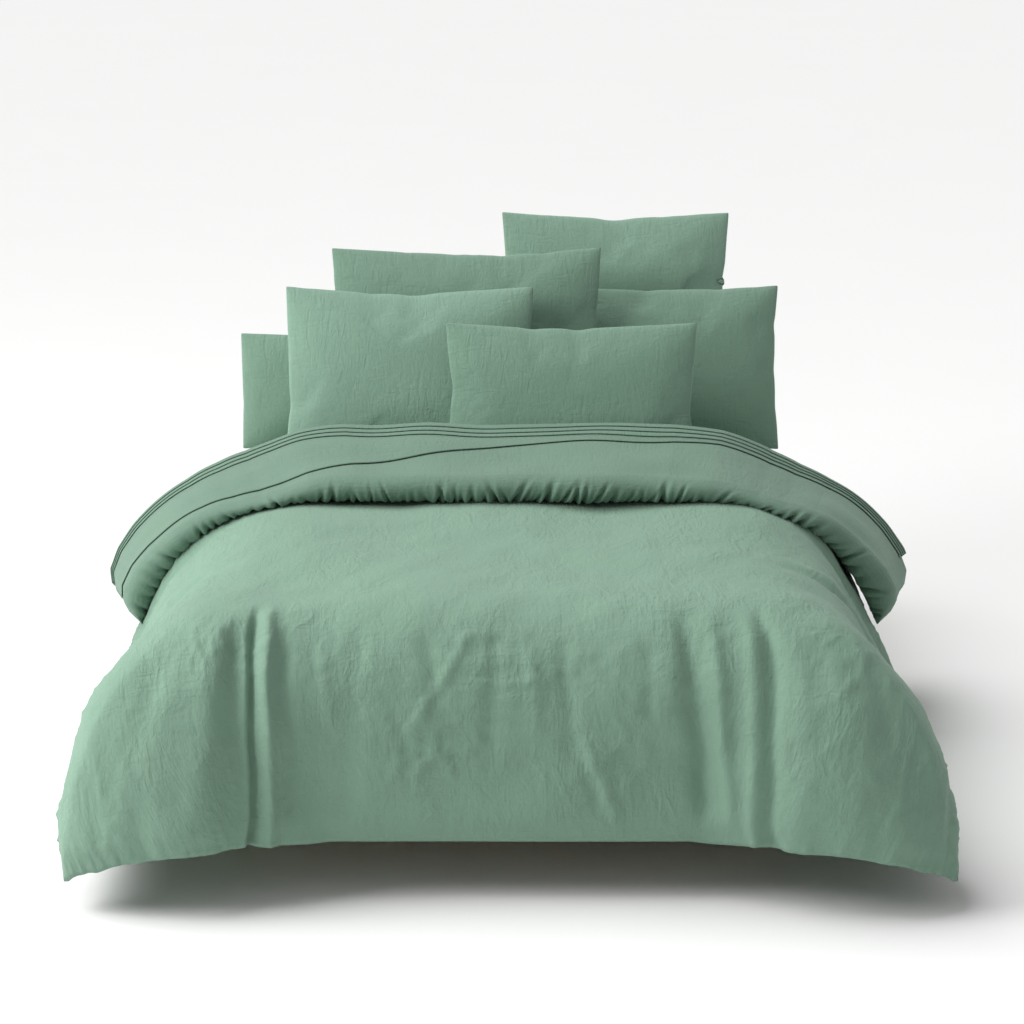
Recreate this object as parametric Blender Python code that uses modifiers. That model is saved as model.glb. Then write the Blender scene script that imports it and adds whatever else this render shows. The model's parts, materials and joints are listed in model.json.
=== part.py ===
"""A duvet on a made bed, with everything that holds it up and lies with it.

A slatted base on six legs carries a sprung mattress in a fitted sheet. The duvet, an insert in a
buttoned cover, falls over both sides and the foot, and its head end is turned down with the flat
sheet over it. Six pillows in pillowcases lean towards the head.

Frame: metres, +Z up, +X to the right as seen from the foot, +Y towards the head. The origin is on
the floor under the middle of the whole object. A flat place on the duvet is (across, along): metres
of cloth to the right of the middle line, and metres of cloth in +Y, with along equal to Y on the
part that lies flat.
"""

import math

import bmesh
import bpy
from mathutils import Matrix, Vector

# ---------------------------------------------------------------- driving sizes
MATTRESS_WIDTH = 1.40
MATTRESS_LENGTH = 2.00
MATTRESS_HEIGHT = 0.23
MATTRESS_HEAD_Y = 1.1961  # the mattress's head end
CLEARANCE = 0.0004  # between pieces that touch

# slatted base
BASE_INSET = 0.03  # the rails stand in from the mattress's sides
RAIL_HEIGHT = 0.12
RAIL_THICKNESS = 0.028
BEAM_WIDTH = 0.05
BEAM_HEIGHT = 0.07
SLAT_COUNT = 10
SLAT_WIDTH = 0.075
SLAT_THICKNESS = 0.018
SLAT_END_INSET = 0.06  # from the rail's end to the first slat
LEG_HEIGHT = 0.155
LEG_TOP_RADIUS = 0.03
LEG_FOOT_RADIUS = 0.021
LEG_FROM_END = 0.12  # from the rail's end to the leg's middle
TIMBER_EDGE = 0.003

# mattress and fitted sheet
TICKING = 0.010  # quilted panels and border
CORNER_RADIUS = 0.06
LINEN = 0.002
FITTED_LIP = 0.05  # how far the fitted sheet turns in under the mattress, inside its round corners

# duvet: how it lies and falls
SIDE_CROWN_INSET = 0.29  # the fall begins to round this far in from the mattress's sides
FOOT_CROWN_INSET = 0.205  # and this far in from its foot end
# each fall: cloth from the crown's edge to where it starts to turn down, cloth over which it turns,
# and its steepest angle
SIDE_FALL = (0.02, 0.66, math.radians(66))
FOOT_FALL = (0.10, 0.50, math.radians(80))
CORNER_FALL = (0.12, 0.73, math.radians(78))
SIDE_DROP = 0.92  # cloth from the crown's edge to the side hem
FOOT_DROP = 0.82  # cloth from the crown's edge to the foot hem
CORNER_POWER = 6.3  # how squarely the corners fall; 2 would be a cone
FOLD_FROM_HEAD = 0.815  # from the mattress's head end to where the duvet is turned down
DUVET_THICKNESS = 0.095  # in the middle
DUVET_LOFT = 0.0056  # air between the flat sheet and the fitted sheet, where the duvet bridges it
DUVET_FALL_THICKNESS = 0.034
THINNING = 0.22  # cloth past the crown's edge over which it thins
HEM_THICKNESS = 0.022
HEM_TAPER = 0.16  # cloth over which it thins towards a hem
CLOSURE_STRIP = 0.055  # the thin strip along the hems, which holds the buttons
COVER_CLOTH = 0.0025
INSERT_INSET = 0.016  # the insert is this much smaller than its cover all round
INSERT_SLACK = 0.002  # and this far from it, face to face
FALL_STEP = 0.004
FLAT_STEP = 0.34  # the grid's steps, where the duvet lies flat and where it bends
BEND_STEP = 0.088

# duvet: the turned-down head end
TURN_DOWN = 0.43  # from the fold to the free edge
TURN_DOWN_THICKNESS = 0.072
TURN_DOWN_SHOULDER = 0.050  # where it is drawn over the mattress's side edge
TURN_DOWN_END = 0.100  # where it hangs free beside the mattress
TURN_DOWN_TAPER = 0.12
TURN_DOWN_SHORTER = 0.13  # its sides hang this much shorter

# flat sheet
SHEET_FOOT_DROP = 0.45
SHEET_BAND_LEFT = 0.30  # how much of it is turned back over the duvet, at its left end
SHEET_BAND_RIGHT = 0.09
SHEET_BAND_SHORTER = 0.14
SHEET_STACK = 0.012  # the folded layers lie this thick

# duvet: closure and ties
BUTTON_COUNT = 6
BUTTON_RADIUS = 0.0065
BUTTON_THICKNESS = 0.003
BUTTON_SPACING = 0.19
TIE_LOOP_RADIUS = 0.0042
TIE_CORD_RADIUS = 0.0011
TIE_FROM_MIDDLE = 0.34

# pillows
PILLOW_LEAN = math.radians(21)
CASE_CLOTH = 0.003
PILLOW_EDGE = 0.011  # half the thickness at the seam
PILLOW_PULL = 0.055  # how far the sides pull in between the corners, as a share of the half side
PILLOW_BACK_GAP = 0.004  # the last pillow's back stands this far in from the mattress's end
PILLOW_GAP = 0.002
# name: width, height, thickness, middle to the right, the pillow that it leans on
PILLOWS = {
    "euro_right": (0.65, 0.64, 0.115, 0.300, None),
    "back_left": (0.70, 0.33, 0.115, -0.405, "euro_right"),
    "back_right": (0.70, 0.46, 0.115, 0.405, "euro_right"),
    "tall_left": (0.75, 0.59, 0.115, -0.120, "back_right"),
    "middle_left": (0.68, 0.51, 0.115, -0.275, "tall_left"),
    "front": (0.68, 0.44, 0.105, 0.165, "middle_left"),
}

# ---------------------------------------------------------------- sizes that follow
FRAME_TOP = LEG_HEIGHT + CLEARANCE + RAIL_HEIGHT
SLAT_TOP = FRAME_TOP + CLEARANCE + SLAT_THICKNESS
MATTRESS_BOTTOM = SLAT_TOP + 2 * CLEARANCE + LINEN
MATTRESS_TOP = MATTRESS_BOTTOM + MATTRESS_HEIGHT
BED_TOP = MATTRESS_TOP + CLEARANCE + LINEN
DUVET_TOP = BED_TOP + DUVET_LOFT + LINEN + CLEARANCE + DUVET_THICKNESS  # its outer face
MATTRESS_FOOT_Y = MATTRESS_HEAD_Y - MATTRESS_LENGTH
MATTRESS_MIDDLE_Y = MATTRESS_HEAD_Y - MATTRESS_LENGTH / 2
CROWN_HALF = MATTRESS_WIDTH / 2 - SIDE_CROWN_INSET
FOLD_Y = MATTRESS_HEAD_Y - FOLD_FROM_HEAD
CROWN_FOOT_Y = MATTRESS_FOOT_Y + FOOT_CROWN_INSET
SIDE_HEM = CROWN_HALF + SIDE_DROP
FOOT_HEM = CROWN_FOOT_Y - FOOT_DROP
FREE_EDGE_Y = FOLD_Y - TURN_DOWN
TURN_DOWN_HALF = SIDE_HEM - TURN_DOWN_SHORTER
BAND_HALF = TURN_DOWN_HALF - SHEET_BAND_SHORTER
SHEET_FOOT_Y = CROWN_FOOT_Y - SHEET_FOOT_DROP


# ---------------------------------------------------------------- small helpers
def clear_scene():
    for obj in list(bpy.data.objects):
        bpy.data.objects.remove(obj)


def material(name, colour, roughness=0.9):
    made = bpy.data.materials.get(name)
    if made is None:
        made = bpy.data.materials.new(name)
        made.use_nodes = True
        shader = made.node_tree.nodes["Principled BSDF"]
        shader.inputs["Base Color"].default_value = (*colour, 1)
        shader.inputs["Roughness"].default_value = roughness
        shader.inputs["Metallic"].default_value = 0.0
    return made


def sage_linen():
    return material("sage_linen", (0.20, 0.33, 0.25))


def white_fill():
    return material("white_fill", (0.85, 0.85, 0.82))


def ticking_cloth():
    return material("ticking_cloth", (0.78, 0.77, 0.73))


def pine():
    return material("pine", (0.62, 0.45, 0.28), 0.6)


def button_shell():
    return material("button_shell", (0.55, 0.62, 0.56), 0.3)


def keep(mesh, name, finish):
    """The mesh as a named piece of the bed."""
    mesh.materials.clear()
    mesh.materials.append(finish)
    piece = bpy.data.objects.new(name, mesh)
    bpy.data.collections["duvet_on_bed"].objects.link(piece)
    return piece


def from_bmesh(bm, name, finish):
    bmesh.ops.recalc_face_normals(bm, faces=bm.faces)
    mesh = bpy.data.meshes.new(name)
    bm.to_mesh(mesh)
    bm.free()
    return keep(mesh, name, finish)


def box(bm, low, high):
    """A box between two corners."""
    low, high = Vector(low), Vector(high)
    size = Matrix.Diagonal((*(high - low), 1))
    return bmesh.ops.create_cube(bm, size=1, matrix=Matrix.Translation((low + high) / 2) @ size)


def timber(name, low, high):
    bm = bmesh.new()
    box(bm, low, high)
    piece = from_bmesh(bm, name, pine())
    edge = piece.modifiers.new("eased_edges", "BEVEL")
    edge.width = TIMBER_EDGE
    edge.segments = 1
    return piece


def smoothstep(x):
    x = min(max(x, 0.0), 1.0)
    return x * x * (3 - 2 * x)


# ---------------------------------------------------------------- slatted base
def build_base():
    half = MATTRESS_WIDTH / 2 - BASE_INSET
    foot, head = MATTRESS_FOOT_Y + BASE_INSET, MATTRESS_HEAD_Y - BASE_INSET
    inner = half - RAIL_THICKNESS - CLEARANCE
    low = LEG_HEIGHT + CLEARANCE
    timber("side_rail_left", (-half, foot, low), (-half + RAIL_THICKNESS, head, FRAME_TOP))
    timber("side_rail_right", (half - RAIL_THICKNESS, foot, low), (half, head, FRAME_TOP))
    timber("foot_rail", (-inner, foot, low), (inner, foot + RAIL_THICKNESS, FRAME_TOP))
    timber("head_rail", (-inner, head - RAIL_THICKNESS, low), (inner, head, FRAME_TOP))
    beam_end = RAIL_THICKNESS + CLEARANCE
    timber(
        "centre_beam",
        (-BEAM_WIDTH / 2, foot + beam_end, FRAME_TOP - BEAM_HEIGHT),
        (BEAM_WIDTH / 2, head - beam_end, FRAME_TOP),
    )
    first, last = foot + SLAT_END_INSET, head - SLAT_END_INSET - SLAT_WIDTH
    for i in range(SLAT_COUNT):
        y = first + (last - first) * i / (SLAT_COUNT - 1)
        timber(
            f"slat_{i + 1:02d}",
            (-half, y, FRAME_TOP + CLEARANCE),
            (half, y + SLAT_WIDTH, SLAT_TOP),
        )
    build_legs(half, foot, head)


def build_legs(half, foot, head):
    under_rail = half - RAIL_THICKNESS / 2
    sides = {"left": -under_rail, "right": under_rail}
    ends = {"foot": foot + LEG_FROM_END, "head": head - LEG_FROM_END}
    for end, y in ends.items():
        for side, x in sides.items():
            leg(f"leg_{end}_{side}", x, y, LEG_HEIGHT)
    beam_low = FRAME_TOP - BEAM_HEIGHT - CLEARANCE
    for end, share in {"foot": 1 / 3, "head": 2 / 3}.items():
        leg(f"leg_centre_{end}", 0, foot + (head - foot) * share, beam_low)


def leg(name, x, y, height):
    """A turned leg, narrower at the floor."""
    bm = bmesh.new()
    bmesh.ops.create_cone(
        bm,
        cap_ends=True,
        segments=16,
        radius1=LEG_FOOT_RADIUS,
        radius2=LEG_TOP_RADIUS,
        depth=height,
    )
    piece = from_bmesh(bm, name, pine())
    piece.location = (x, y, height / 2)
    piece.data.shade_smooth()
    piece.data.set_sharp_from_angle(angle=math.radians(40))
    return piece


# ---------------------------------------------------------------- mattress and fitted sheet
def block(bm, inset, low, high):
    """The mattress's outline drawn in by inset, from low to high, with its upright edges rounded."""
    half = MATTRESS_WIDTH / 2 - inset
    box(bm, (-half, MATTRESS_FOOT_Y + inset, low), (half, MATTRESS_HEAD_Y - inset, high))
    upright = [e for e in bm.edges if abs(e.verts[0].co.z - e.verts[1].co.z) > 1e-6]
    bmesh.ops.bevel(
        bm,
        geom=upright,
        offset=CORNER_RADIUS - inset,
        segments=4,
        profile=0.5,
        affect="EDGES",
        material=-1,
    )


def build_mattress():
    bm = bmesh.new()
    core_inset = TICKING + CLEARANCE
    block(bm, core_inset, MATTRESS_BOTTOM + core_inset, MATTRESS_TOP - core_inset)
    from_bmesh(bm, "mattress_core", white_fill())

    bm = bmesh.new()
    block(bm, 0, MATTRESS_TOP - TICKING, MATTRESS_TOP)
    from_bmesh(bm, "mattress_top_panel", ticking_cloth())

    bm = bmesh.new()
    block(bm, 0, MATTRESS_BOTTOM, MATTRESS_BOTTOM + TICKING)
    from_bmesh(bm, "mattress_bottom_panel", ticking_cloth())

    bm = bmesh.new()
    block(bm, 0, MATTRESS_BOTTOM + core_inset, MATTRESS_TOP - core_inset)
    ends = [f for f in bm.faces if abs(f.normal.z) > 0.5]
    bmesh.ops.delete(bm, geom=ends, context="FACES")
    border = from_bmesh(bm, "mattress_border", ticking_cloth())
    wall = border.modifiers.new("wall", "SOLIDIFY")
    wall.thickness = TICKING
    wall.offset = -1
    wall.use_even_offset = True


def build_fitted_sheet():
    """Drawn over the mattress and turned in under it, with an open middle below."""
    bm = bmesh.new()
    over = -(LINEN + CLEARANCE)
    block(bm, over, MATTRESS_BOTTOM + over, MATTRESS_TOP - over)
    bottom = [f for f in bm.faces if f.normal.z < -0.5]
    bmesh.ops.inset_region(bm, faces=bottom, thickness=FITTED_LIP, use_even_offset=True)
    bottom = [f for f in bottom if f.is_valid]
    bmesh.ops.delete(bm, geom=bottom, context="FACES")
    sheet = from_bmesh(bm, "fitted_sheet", sage_linen())
    wall = sheet.modifiers.new("cloth", "SOLIDIFY")
    wall.thickness = LINEN
    wall.offset = -1
    wall.use_even_offset = True


# ---------------------------------------------------------------- how the duvet falls
def fall_table(start, bend, steepest):
    """(out, down) for each FALL_STEP of cloth past the crown's edge."""
    rows, out, down = [(0.0, 0.0)], 0.0, 0.0
    for i in range(math.ceil((SIDE_DROP + FOOT_DROP) / FALL_STEP)):
        cloth = (i + 0.5) * FALL_STEP
        angle = steepest * smoothstep((cloth - start) / bend)
        out += math.cos(angle) * FALL_STEP
        down += math.sin(angle) * FALL_STEP
        rows.append((out, down))
    return rows


SIDE_TABLE, FOOT_TABLE, CORNER_TABLE = (fall_table(*f) for f in (SIDE_FALL, FOOT_FALL, CORNER_FALL))


def fallen(table, cloth):
    """How far out and down the duvet has come after that much cloth past the crown's edge."""
    place = min(cloth / FALL_STEP, len(table) - 1.001)
    i = int(place)
    return Vector(table[i]).lerp(Vector(table[i + 1]), place - i)


def outer_face(across, along):
    """The place in the room of a flat place on the duvet's outer face."""
    x, y = min(max(across, -CROWN_HALF), CROWN_HALF), max(along, CROWN_FOOT_Y)
    side, foot = abs(across - x), y - along
    past = (side**CORNER_POWER + foot**CORNER_POWER) ** (1 / CORNER_POWER)
    if past < 1e-6:
        return Vector((x, y, DUVET_TOP))
    to_foot = foot**2 / (side**2 + foot**2)
    cornering = 4 * to_foot * (1 - to_foot)
    edge = fallen(SIDE_TABLE, past).lerp(fallen(FOOT_TABLE, past), to_foot)
    out, down = edge.lerp(fallen(CORNER_TABLE, past), cornering)
    way = Vector((math.copysign(side, across), -foot, 0)) / past
    return Vector((x, y, DUVET_TOP - down)) + way * out


def outward(across, along):
    """The outer face's normal there."""
    step = 0.004
    right = outer_face(across + step, along) - outer_face(across - step, along)
    ahead = outer_face(across, along + step) - outer_face(across, along - step)
    return right.cross(ahead).normalized()


def body_thickness(across, along):
    """Full in the middle, thinner where it hangs, and thinnest at the hems."""
    side, foot = max(abs(across) - CROWN_HALF, 0), max(CROWN_FOOT_Y - along, 0)
    past = (side**CORNER_POWER + foot**CORNER_POWER) ** (1 / CORNER_POWER)
    hanging = smoothstep(past / THINNING)
    full = DUVET_THICKNESS + (DUVET_FALL_THICKNESS - DUVET_THICKNESS) * hanging
    from_hem = min(SIDE_HEM - abs(across), along - FOOT_HEM) - CLOSURE_STRIP
    return HEM_THICKNESS + (full - HEM_THICKNESS) * smoothstep(from_hem / HEM_TAPER)


def turn_down_thickness(across, along):
    """Full in the middle, drawn thin over the mattress's side edge, and fat where it hangs."""
    at_edge = smoothstep((abs(across) - CROWN_HALF) / SIDE_CROWN_INSET)
    beside = smoothstep((abs(across) - MATTRESS_WIDTH / 2) / (TURN_DOWN_HALF - MATTRESS_WIDTH / 2))
    full = TURN_DOWN_THICKNESS + (TURN_DOWN_SHOULDER - TURN_DOWN_THICKNESS) * at_edge
    full += (TURN_DOWN_END - TURN_DOWN_SHOULDER) * beside
    from_hem = min(TURN_DOWN_HALF - abs(across), along - FREE_EDGE_Y)
    return HEM_THICKNESS + (full - HEM_THICKNESS) * smoothstep(from_hem / TURN_DOWN_TAPER)


def stations(marks, flat_from, flat_to):
    """Places from the first mark to the last: coarse steps where the cloth lies flat, else fine."""
    found = [marks[0]]
    for a, b in zip(marks, marks[1:]):
        lies_flat = a > flat_from - 1e-6 and b < flat_to + 1e-6
        count = max(1, round((b - a) / (FLAT_STEP if lies_flat else BEND_STEP)))
        found += [a + (b - a) * (i + 1) / count for i in range(count)]
    return found


INSERT_MARKS = [TURN_DOWN_HALF - INSERT_INSET, SIDE_HEM - INSERT_INSET]
RIGHT_MARKS = sorted([CROWN_HALF, BAND_HALF, TURN_DOWN_HALF, SIDE_HEM, *INSERT_MARKS])
COLUMNS = stations([-m for m in reversed(RIGHT_MARKS)] + RIGHT_MARKS, -CROWN_HALF, CROWN_HALF)
HEM_MARKS = [FOOT_HEM, FOOT_HEM + INSERT_INSET, FOOT_HEM + CLOSURE_STRIP]
BODY_MARKS = [*HEM_MARKS, SHEET_FOOT_Y, CROWN_FOOT_Y, FOLD_Y]
BODY_ROWS = stations(BODY_MARKS, CROWN_FOOT_Y, FOLD_Y)
TAPER_ROWS = [INSERT_INSET, 0.4 * TURN_DOWN_TAPER, TURN_DOWN_TAPER]
TURN_DOWN_ROWS = [FREE_EDGE_Y, *(FREE_EDGE_Y + taper for taper in TAPER_ROWS), FOLD_Y]


def within(places, low, high):
    """The places between low and high, with low and high themselves."""
    return [low, *(p for p in places if low + 1e-3 < p < high - 1e-3), high]


def layer(columns, rows, near, far):
    """A closed slab of cloth, from near(across, along) to far(across, along) below the outer face."""
    bm = bmesh.new()
    across = bm.verts.layers.float.new("across")
    along = bm.verts.layers.float.new("along")
    bmesh.ops.create_grid(bm, x_segments=len(columns) - 1, y_segments=len(rows) - 1, size=0.5)
    for v in bm.verts:
        v[across] = columns[round((v.co.x + 0.5) * (len(columns) - 1))]
        row = rows[round((v.co.y + 0.5) * (len(rows) - 1))]
        v[along] = row(v[across]) if callable(row) else row
    bmesh.ops.triangulate(bm, faces=bm.faces, quad_method="FIXED")
    upper = list(bm.verts)
    made = bmesh.ops.extrude_face_region(bm, geom=bm.faces[:], use_keep_orig=True)
    lower = [v for v in made["geom"] if isinstance(v, bmesh.types.BMVert)]
    for verts, depth in ((upper, near), (lower, far)):
        for v in verts:
            at = v[across], v[along]
            v.co = outer_face(*at) - outward(*at) * depth(*at)
    bmesh.ops.recalc_face_normals(bm, faces=bm.faces)
    return bm


def sock(outside, inside, fold_y):
    """Two closed slabs of one make, as a single shell that is open along the fold."""
    mesh = bpy.data.meshes.new("inside")
    inside.to_mesh(mesh)
    inside.free()
    outer_faces = set(outside.faces)
    outside.from_mesh(mesh)
    inner_faces = [f for f in outside.faces if f not in outer_faces]
    bmesh.ops.reverse_faces(outside, faces=inner_faces)
    rim = [f for f in outside.faces if all(abs(v.co.y - fold_y) < 1e-4 for v in f.verts)]
    bmesh.ops.delete(outside, geom=rim, context="FACES")
    edges = [e for e in outside.edges if e.is_boundary]
    bmesh.ops.bridge_loops(outside, edges=edges)
    return outside


def fixed(depth):
    return lambda across, along: depth


def build_duvet_body():
    """The cover as a sock open at the fold, and the insert inside it."""
    skin = COVER_CLOTH + INSERT_SLACK

    def cloth_bottom(across, along):
        return body_thickness(across, along) - COVER_CLOTH

    def fill_bottom(across, along):
        return body_thickness(across, along) - skin

    outside = layer(COLUMNS, BODY_ROWS, fixed(0), body_thickness)
    half, foot = SIDE_HEM - COVER_CLOTH, FOOT_HEM + COVER_CLOTH
    columns, rows = within(COLUMNS, -half, half), within(BODY_ROWS, foot, FOLD_Y)
    inside = layer(columns, rows, fixed(COVER_CLOTH), cloth_bottom)
    from_bmesh(sock(outside, inside, FOLD_Y), "duvet_cover_body", sage_linen())

    half, foot = SIDE_HEM - INSERT_INSET, FOOT_HEM + INSERT_INSET
    columns, rows = within(COLUMNS, -half, half), within(BODY_ROWS, foot, FOLD_Y)
    fill = layer(columns, rows, fixed(skin), fill_bottom)
    from_bmesh(fill, "duvet_insert_body", white_fill())


def turn_down_top(across, along):
    """How far below the body's outer face the turned-down end's outer face is: above it."""
    return -CLEARANCE - turn_down_thickness(across, along)


def build_turn_down():
    """The rest of the cover and of the insert, lying on the body from the fold."""
    skin = COVER_CLOTH + INSERT_SLACK
    bottom = -CLEARANCE

    def cloth_top(across, along):
        return turn_down_top(across, along) + COVER_CLOTH

    def fill_top(across, along):
        return turn_down_top(across, along) + skin

    columns = within(COLUMNS, -TURN_DOWN_HALF, TURN_DOWN_HALF)
    outside = layer(columns, TURN_DOWN_ROWS, turn_down_top, fixed(bottom))
    half, edge = TURN_DOWN_HALF - COVER_CLOTH, FREE_EDGE_Y + COVER_CLOTH
    columns, rows = within(COLUMNS, -half, half), within(TURN_DOWN_ROWS, edge, FOLD_Y)
    inside = layer(columns, rows, cloth_top, fixed(bottom - COVER_CLOTH))
    from_bmesh(sock(outside, inside, FOLD_Y), "duvet_cover_turn_down", sage_linen())

    half, edge = TURN_DOWN_HALF - INSERT_INSET, FREE_EDGE_Y + INSERT_INSET
    columns, rows = within(COLUMNS, -half, half), within(TURN_DOWN_ROWS, edge, FOLD_Y)
    fill = layer(columns, rows, fill_top, fixed(bottom - skin))
    from_bmesh(fill, "duvet_insert_turn_down", white_fill())


# ---------------------------------------------------------------- flat sheet
def build_flat_sheet():
    """Under the duvet, and turned back over its turned-down end, with a slanting hem."""

    def sheet_top(across, along):
        return body_thickness(across, along) + CLEARANCE

    def sheet_bottom(across, along):
        return sheet_top(across, along) + LINEN

    columns = within(COLUMNS, -BAND_HALF, BAND_HALF)
    under = layer(columns, within(BODY_ROWS, SHEET_FOOT_Y, FOLD_Y), sheet_top, sheet_bottom)
    from_bmesh(under, "flat_sheet_body", sage_linen())

    def band_bottom(across, along):
        return turn_down_top(across, along) - CLEARANCE

    def band_top(across, along):
        return band_bottom(across, along) - SHEET_STACK

    def band_row(share):
        """The row that is share of the way from the band's slanting hem to the fold."""

        def along(across):
            to_right = (across + BAND_HALF) / (2 * BAND_HALF)
            reach = SHEET_BAND_LEFT + (SHEET_BAND_RIGHT - SHEET_BAND_LEFT) * to_right
            return FOLD_Y - reach * (1 - share)

        return along

    columns = within(COLUMNS, -BAND_HALF, BAND_HALF)
    band = layer(columns, [band_row(0), band_row(0.5), band_row(1)], band_top, band_bottom)
    from_bmesh(band, "flat_sheet_turn_down", sage_linen())


# ---------------------------------------------------------------- closure and ties
def facing(across, along, depth):
    """A place under the duvet's outer face by depth, with its Z axis along the normal there."""
    normal = outward(across, along)
    turn = normal.to_track_quat("Z", "Y").to_matrix().to_4x4()
    return Matrix.Translation(outer_face(across, along) - normal * depth) @ turn


def build_buttons():
    """They close the foot end, on the cover's under side."""
    along = FOOT_HEM + CLOSURE_STRIP / 2
    for i in range(BUTTON_COUNT):
        across = (i - (BUTTON_COUNT - 1) / 2) * BUTTON_SPACING
        bm = bmesh.new()
        bmesh.ops.create_cone(
            bm,
            cap_ends=True,
            segments=16,
            radius1=BUTTON_RADIUS,
            radius2=BUTTON_RADIUS,
            depth=BUTTON_THICKNESS,
        )
        button = from_bmesh(bm, f"cover_button_{i + 1}", button_shell())
        clear = 3 * CLEARANCE + BUTTON_THICKNESS / 2
        button.matrix_world = facing(across, along, body_thickness(across, along) + clear)


def tie_loop(name, place):
    bpy.ops.mesh.primitive_torus_add(
        major_radius=TIE_LOOP_RADIUS,
        minor_radius=TIE_CORD_RADIUS,
        major_segments=12,
        minor_segments=6,
    )
    loop = bpy.context.object
    for collection in list(loop.users_collection):
        collection.objects.unlink(loop)
    mesh = loop.data
    bpy.data.objects.remove(loop)
    loop = keep(mesh, name, sage_linen())
    loop.matrix_world = place


def build_ties():
    """Loops inside the cover, at its foot and head hems, which tie it to the insert."""
    from_hem = INSERT_INSET / 2
    for side, across in (("left", -TIE_FROM_MIDDLE), ("right", TIE_FROM_MIDDLE)):
        along = FOOT_HEM + from_hem
        depth = body_thickness(across, along) / 2
        tie_loop(f"cover_tie_foot_{side}", facing(across, along, depth))
        along = FREE_EDGE_Y + from_hem
        depth = turn_down_top(across, along) / 2
        tie_loop(f"cover_tie_head_{side}", facing(across, along, depth))


# ---------------------------------------------------------------- pillows
def pillow_shape(bm, width, height, half_thickness, edge):
    """A cushion standing on its long side: X across, Z up, crowned along Y, sides pulled in."""
    bmesh.ops.create_cube(bm, size=2)
    across = [e for e in bm.edges if abs(e.verts[0].co.x - e.verts[1].co.x) > 1]
    bmesh.ops.subdivide_edges(bm, edges=across, cuts=7, use_grid_fill=True)
    upright = [e for e in bm.edges if abs(e.verts[0].co.z - e.verts[1].co.z) > 1]
    bmesh.ops.subdivide_edges(bm, edges=upright, cuts=5, use_grid_fill=True)
    for v in bm.verts:
        u, w, side = v.co.x, v.co.z, math.copysign(1, v.co.y)
        u, w = math.sin(u * math.pi / 2), math.sin(w * math.pi / 2)
        crown = ((1 - u * u) * (1 - w * w)) ** 0.42
        x = width / 2 * u * (1 - PILLOW_PULL * (1 - w * w))
        z = height / 2 * w * (1 - PILLOW_PULL * (1 - u * u))
        v.co = (x, side * (edge + (half_thickness - edge) * crown), z)


def place_in_pile(name):
    """How far forward of the last pillow it is, square to the pillows' faces."""
    thickness, behind = PILLOWS[name][2], PILLOWS[name][4]
    if behind is None:
        return 0.0
    return place_in_pile(behind) + (PILLOWS[behind][2] + thickness) / 2 + PILLOW_GAP


def pillow_place(name):
    """Leaning back on the pillow behind it, and standing on the bed."""
    height, middle = PILLOWS[name][1], PILLOWS[name][3]
    up = Vector((0, math.sin(PILLOW_LEAN), math.cos(PILLOW_LEAN)))
    front = Vector((0, -math.cos(PILLOW_LEAN), math.sin(PILLOW_LEAN)))
    tallest, last_thickness = PILLOWS["euro_right"][1:3]
    last_top_y = MATTRESS_HEAD_Y - PILLOW_BACK_GAP - last_thickness / 2
    last_foot_y = last_top_y - tallest * math.sin(PILLOW_LEAN)
    foot = Vector((middle, last_foot_y - place_in_pile(name) / math.cos(PILLOW_LEAN), BED_TOP))
    lift = PILLOW_EDGE * math.tan(PILLOW_LEAN) + CLEARANCE
    turn = Matrix(((1, 0, 0), tuple(-front), tuple(up))).transposed().to_4x4()
    return Matrix.Translation(foot + up * (height / 2 + lift)) @ turn


def build_pillow(name):
    width, height, thickness = PILLOWS[name][:3]
    place = pillow_place(name)

    bm = bmesh.new()
    pillow_shape(bm, width, height, thickness / 2, PILLOW_EDGE)
    open_end = [f for f in bm.faces if all(v.co.x > 0 for v in f.verts) and is_end(f, width)]
    bmesh.ops.delete(bm, geom=open_end, context="FACES")
    case = from_bmesh(bm, f"pillowcase_{name}", sage_linen())
    wall = case.modifiers.new("cloth", "SOLIDIFY")
    wall.thickness = CASE_CLOTH
    wall.offset = -1
    wall.use_even_offset = True
    case.matrix_world = place

    skin = CASE_CLOTH + 2 * CLEARANCE
    bm = bmesh.new()
    pillow_shape(
        bm, width - 5 * skin, height - 5 * skin, thickness / 2 - skin, PILLOW_EDGE - skin
    )
    fill = from_bmesh(bm, f"pillow_{name}", white_fill())
    fill.matrix_world = place


def is_end(face, width):
    """Whether the face is part of the pillow's right-hand end."""
    near_end = width / 2 * (1 - PILLOW_PULL) - 0.02
    return abs(face.normal.x) > 0.5 and all(v.co.x > near_end for v in face.verts)


# ---------------------------------------------------------------- the whole bed
clear_scene()
bpy.context.scene.collection.children.link(bpy.data.collections.new("duvet_on_bed"))
build_base()
build_mattress()
build_fitted_sheet()
build_duvet_body()
build_turn_down()
build_flat_sheet()
build_buttons()
build_ties()
for pillow in PILLOWS:
    build_pillow(pillow)
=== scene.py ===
"""A made bed in washed sage green cotton: duvet, flat sheet, fitted sheet and six pillows."""

import math

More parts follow.
